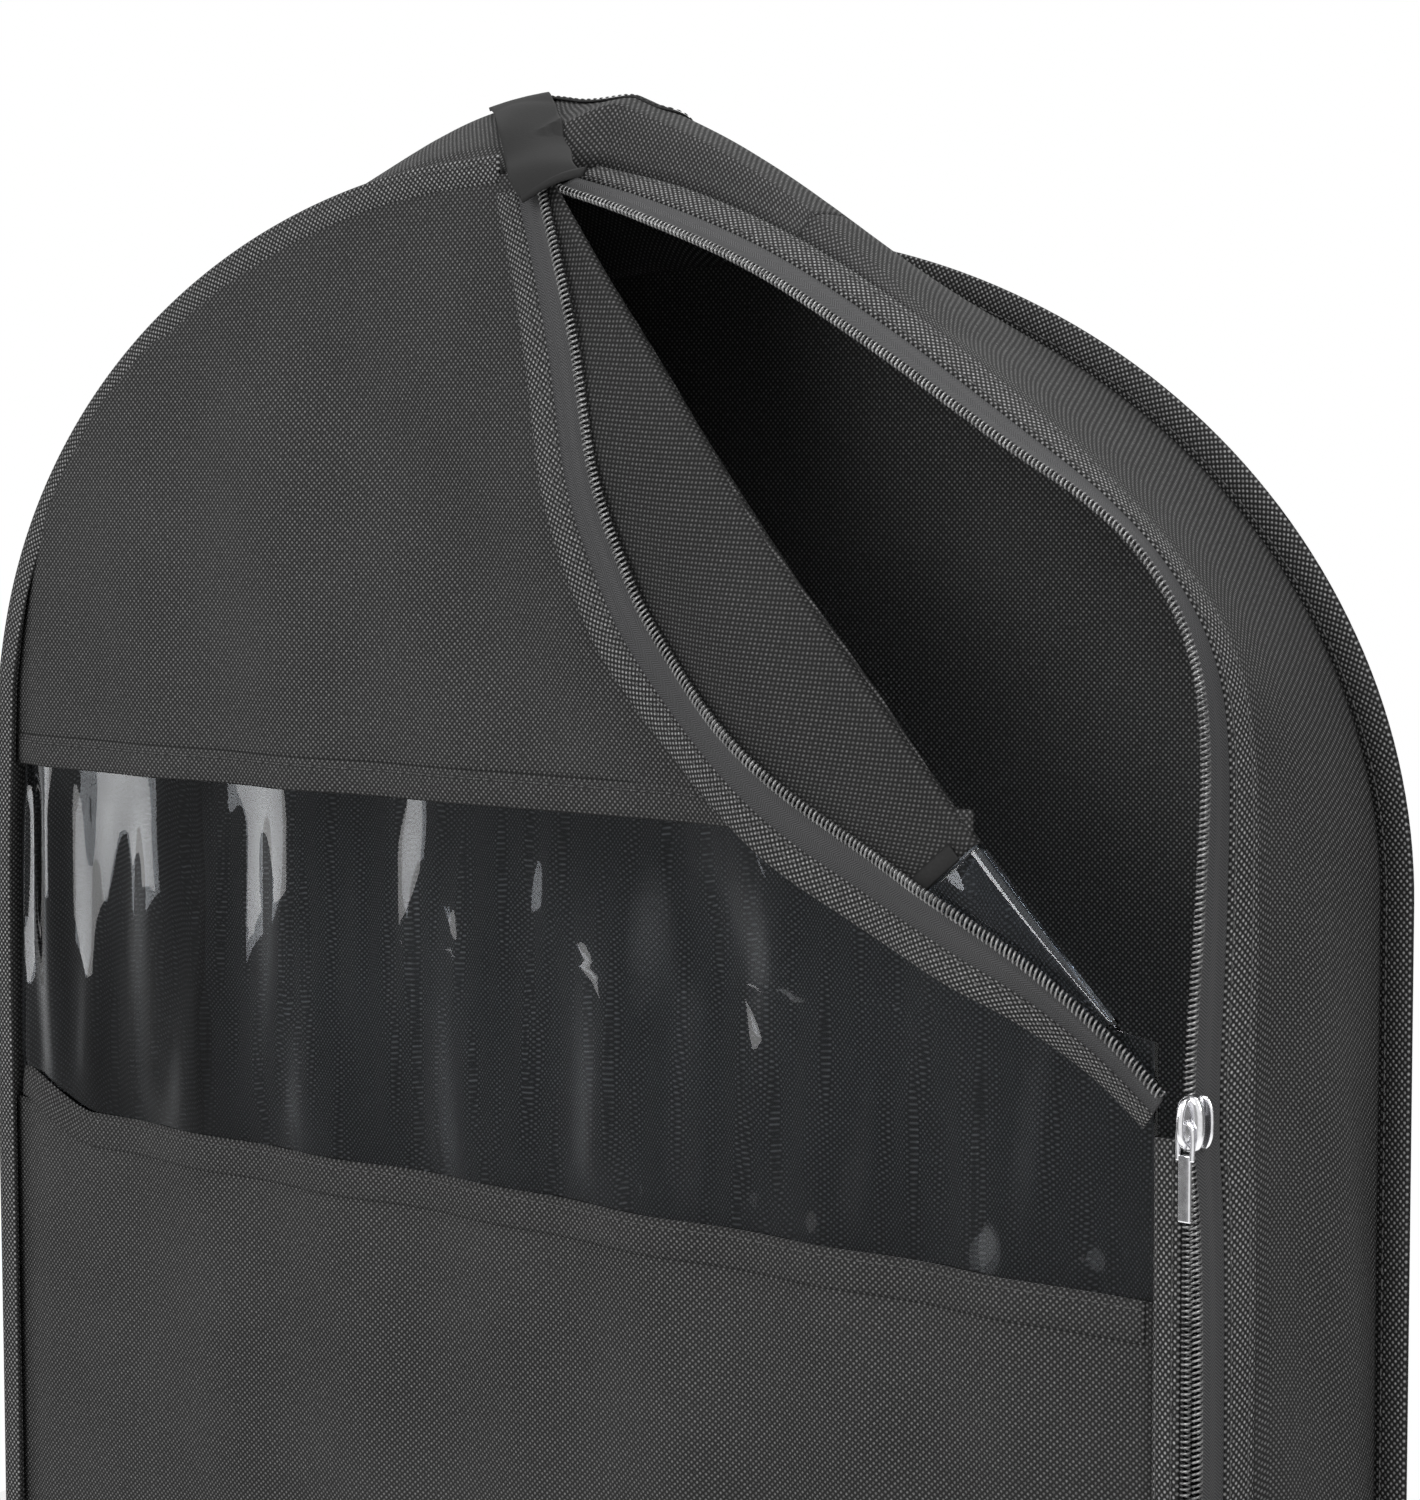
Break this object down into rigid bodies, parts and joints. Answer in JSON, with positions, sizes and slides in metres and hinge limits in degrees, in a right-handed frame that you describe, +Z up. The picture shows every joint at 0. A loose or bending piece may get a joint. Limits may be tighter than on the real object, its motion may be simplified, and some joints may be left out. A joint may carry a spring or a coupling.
{
  "type": "garment bag",
  "caption": "Hanging gusseted garment bag in dotted non-woven fabric with a clear chest window, a curved shoulder zip and a folded-open corner.",
  "frame": {"origin": "centre of the hanger slot, on top of the gusset at the top of the bag", "axes": "+X to the viewer's right, front faces -Y, +Z up"},
  "size_m": [0.634, 0.1125, 1.113],
  "materials": {
    "nonwoven": "dotted non-woven, matt",
    "binding": "folded and stitched, matt",
    "clear_film": "clear, glossy",
    "zip_tape": "herringbone tape",
    "zip_coil": "gunmetal gloss",
    "zip_stop": "moulded",
    "slider_metal": "polished"
  },
  "bodies": {
    "bag": {"back_panel": "nonwoven", "left_gusset": "nonwoven", "right_gusset": "nonwoven", "bottom_gusset": "nonwoven", "top_gusset": "nonwoven", "front_upper_panel": "nonwoven", "front_lower_panel": "nonwoven", "window_top_hem": "nonwoven", "window_bottom_hem": "nonwoven", "back_binding": "binding", "hanger_slot_binding": "binding", "front_left_hem": "binding", "front_bottom_hem": "binding", "gusset_zip_hem": "binding", "front_zip_hem": "binding", "zip_top_tab": "binding", "window_film": "clear_film", "gusset_zip_tape": "zip_tape", "front_zip_tape": "zip_tape", "gusset_zip_coil": "zip_coil", "front_zip_coil": "zip_coil", "zip_top_stop": "zip_stop", "zip_bottom_stop": "zip_stop"},
    "flap": {"flap_panel": "nonwoven", "flap_window_film": "clear_film", "flap_hem": "binding", "flap_zip_tape": "zip_tape", "flap_zip_coil": "zip_coil"},
    "slider": {"slider_body": "slider_metal", "slider_bridge": "slider_metal"},
    "pull": {"pull_tab": "slider_metal"}
  },
  "joints": [
    {"name": "slider_slide", "type": "slide", "parent": "bag", "child": "slider", "axis": [0, 0, 1], "range_m": [-0.73, 0]},
    {"name": "pull_hinge", "type": "hinge", "parent": "slider", "child": "pull", "pos_m": [0.3013, -0.0561, -0.337], "axis": [-1, 0, 0], "range_deg": [0, 165]},
    {"name": "flap_fold", "type": "hinge", "parent": "bag", "child": "flap", "pos_m": [0.015, -0.0529, -0.029], "axis": [-0.683, 0, 0.7305], "range_deg": [0, 150]}
  ]
}
